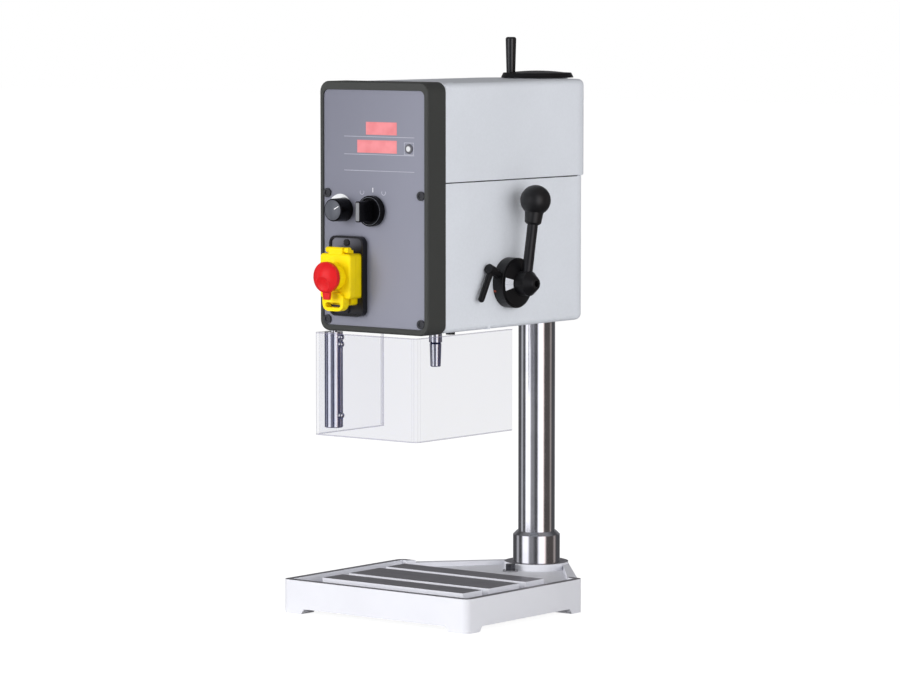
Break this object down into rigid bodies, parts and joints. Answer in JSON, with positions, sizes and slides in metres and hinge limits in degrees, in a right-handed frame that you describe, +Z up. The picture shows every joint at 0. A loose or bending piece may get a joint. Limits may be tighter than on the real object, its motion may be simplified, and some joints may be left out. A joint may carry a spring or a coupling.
{
  "type": "bench drill press",
  "caption": "Bench drill press with a slotted base table, round column, crank-lifted head, lever-fed spindle, instrument panel, hinged stop switch and clear swinging guard.",
  "frame": {"origin": "on the bench straight below the spindle, at the middle of the four bench holes in the feet", "axes": "+Z up along the spindle and column, +Y from the operator towards the column, +X to the operator's right"},
  "size_m": [0.311, 0.4653, 0.757],
  "materials": {
    "base_paint": "light grey paint, ground bare on the table strips and rim",
    "polished_steel": "ground and polished",
    "bronze": "machined",
    "zinc_steel": "bright zinc",
    "black_steel": "black oxide",
    "casing_paint": "fine textured silver-grey paint",
    "cover_paint": "fine textured silver-grey paint",
    "frame_plastic": "anthracite satin",
    "panel_skin": "satin blue-grey",
    "display_red": "red window",
    "board_green": "solder mask",
    "black_plastic": "satin black",
    "grey_plastic": "grey",
    "yellow_plastic": "yellow",
    "red_plastic": "red",
    "green_plastic": "green",
    "machined_steel": "turned",
    "motor_paint": "dark grey paint",
    "pulley_metal": "turned",
    "belt_rubber": "matte",
    "spring_steel": "blued",
    "scale_silver": "satin",
    "clear_sheet": "clear"
  },
  "bodies": {
    "base": {"base_casting": "base_paint", "column": "polished_steel", "column_collar": "polished_steel", "lift_nut": "bronze", "hold_down_screw": "black_steel", "hold_down_washer": "zinc_steel"},
    "head": {"head_casting": "casing_paint", "top_cover": "cover_paint", "casing_screws": "black_steel", "front_frame": "frame_plastic", "front_panel": "panel_skin", "panel_screws": "black_steel", "speed_display": "display_red", "depth_display": "display_red", "control_board": "board_green", "speed_pot": "grey_plastic", "mode_bezel": "black_plastic", "mode_switch": "grey_plastic", "switch_plate": "black_plastic", "switch_plate_screws": "black_steel", "switch_box": "yellow_plastic", "lid_pin": "machined_steel", "motor_plate": "machined_steel", "motor": "motor_paint", "drive_belt": "belt_rubber", "pulley_bearings": "machined_steel", "feed_bushes": "bronze", "spring_cup": "machined_steel", "return_spring": "spring_steel", "interlock_switch": "black_plastic", "cable_gland": "black_plastic", "depth_housing": "black_plastic"},
    "lift": {"lift_bearing": "machined_steel"},
    "crank": {"handwheel": "black_plastic", "lift_screw": "machined_steel", "grip_pin": "machined_steel"},
    "crank_grip": {"handwheel_grip": "black_plastic"},
    "quill_body": {"quill": "machined_steel", "quill_bearings": "machined_steel"},
    "spindle_body": {"spindle": "polished_steel"},
    "driven_pulley": {"spindle_pulley": "pulley_metal"},
    "rotor": {"motor_rotor": "machined_steel"},
    "feed_lever": {"feed_shaft": "machined_steel", "feed_hub": "black_plastic", "lever_rod": "black_steel", "lever_ball": "black_plastic"},
    "dial": {"depth_dial": "black_plastic", "depth_scale": "scale_silver"},
    "dial_clamp": {"depth_clamp_lever": "black_plastic"},
    "guard": {"guard_shield": "clear_sheet", "guard_post": "polished_steel", "guard_screws": "zinc_steel"},
    "stop_lid": {"switch_lid": "yellow_plastic"},
    "stop_button": {"stop_mushroom": "red_plastic"},
    "start": {"start_button": "green_plastic"},
    "speed_control": {"speed_knob": "black_plastic"},
    "mode_control": {"mode_knob": "black_plastic"},
    "zero": {"zero_key": "black_plastic"},
    "column_lock": {"column_clamp_lever": "black_plastic"}
  },
  "joints": [
    {"name": "head_lift", "type": "slide", "parent": "base", "child": "lift", "axis": [0, 0, 1], "range_m": [-0.14, 0.045]},
    {"name": "head_swivel", "type": "hinge", "parent": "lift", "child": "head", "pos_m": [0, 0.221, 0.45], "axis": [0, 0, 1], "range_deg": [-60, 60]},
    {"name": "crank_turn", "type": "hinge", "parent": "lift", "child": "crank", "pos_m": [0, 0.221, 0.7075], "axis": [0, 0, 1], "range_deg": [-10080, 3240]},
    {"name": "crank_grip_spin", "type": "hinge", "parent": "crank", "child": "crank_grip", "pos_m": [-0.028, 0.199, 0.73], "axis": [0, 0, 1], "continuous": true},
    {"name": "quill_feed", "type": "slide", "parent": "head", "child": "quill_body", "axis": [0, 0, -1], "range_m": [0, 0.065], "stiffness_N_per_m": 300, "springref_m": -0.13},
    {"name": "feed_turn", "type": "hinge", "parent": "head", "child": "feed_lever", "pos_m": [0.1, 0.0395, 0.4386], "axis": [1, 0, 0], "range_deg": [0, 178]},
    {"name": "spindle_spin", "type": "hinge", "parent": "quill_body", "child": "spindle_body", "pos_m": [0, 0, 0.35], "axis": [0, 0, 1], "continuous": true},
    {"name": "pulley_spin", "type": "hinge", "parent": "head", "child": "driven_pulley", "pos_m": [0, 0, 0.621], "axis": [0, 0, 1], "continuous": true},
    {"name": "motor_spin", "type": "hinge", "parent": "head", "child": "rotor", "pos_m": [0, 0.122, 0.621], "axis": [0, 0, 1], "continuous": true},
    {"name": "dial_turn", "type": "hinge", "parent": "head", "child": "dial", "pos_m": [0.108, 0.0395, 0.4386], "axis": [1, 0, 0], "range_deg": [0, 178]},
    {"name": "dial_clamp_turn", "type": "hinge", "parent": "head", "child": "dial_clamp", "pos_m": [0.098, -0.0072, 0.4578], "axis": [0, -0.9249, 0.3803], "range_deg": [0, 40]},
    {"name": "guard_swing", "type": "hinge", "parent": "head", "child": "guard", "pos_m": [-0.077, -0.117, 0.3], "axis": [0, 0, -1], "range_deg": [0, 110]},
    {"name": "lid_open", "type": "hinge", "parent": "head", "child": "stop_lid", "pos_m": [-0.0402, -0.1511, 0.4857], "axis": [-1, 0, 0], "range_deg": [0, 95]},
    {"name": "stop_press", "type": "slide", "parent": "stop_lid", "child": "stop_button", "axis": [0, 1, 0], "range_m": [0, 0.003], "stiffness_N_per_m": 900, "springref_m": -0.003},
    {"name": "start_press", "type": "slide", "parent": "head", "child": "start", "axis": [0, 1, 0], "range_m": [0, 0.0015], "stiffness_N_per_m": 600, "springref_m": -0.002},
    {"name": "speed_turn", "type": "hinge", "parent": "head", "child": "speed_control", "pos_m": [-0.0505, -0.135, 0.5367], "axis": [0, 1, 0], "range_deg": [-210, 90]},
    {"name": "mode_turn", "type": "hinge", "parent": "head", "child": "mode_control", "pos_m": [-0.0022, -0.135, 0.5363], "axis": [0, 1, 0], "range_deg": [-60, 60]},
    {"name": "zero_press", "type": "slide", "parent": "head", "child": "zero", "axis": [0, 1, 0], "range_m": [0, 0.001], "stiffness_N_per_m": 500, "springref_m": -0.001},
    {"name": "column_lock_turn", "type": "hinge", "parent": "head", "child": "column_lock", "pos_m": [0, 0.2713, 0.45], "axis": [0, 1, 0], "range_deg": [-45, 30]}
  ],
  "couplings": [
    {"joint": "crank_turn", "follows": "head_lift", "rad_per_m": 1256.6},
    {"joint": "feed_turn", "follows": "quill_feed", "rad_per_m": 47.619},
    {"joint": "spindle_spin", "follows": "pulley_spin", "ratio": 1},
    {"joint": "motor_spin", "follows": "pulley_spin", "ratio": 1.6}
  ]
}
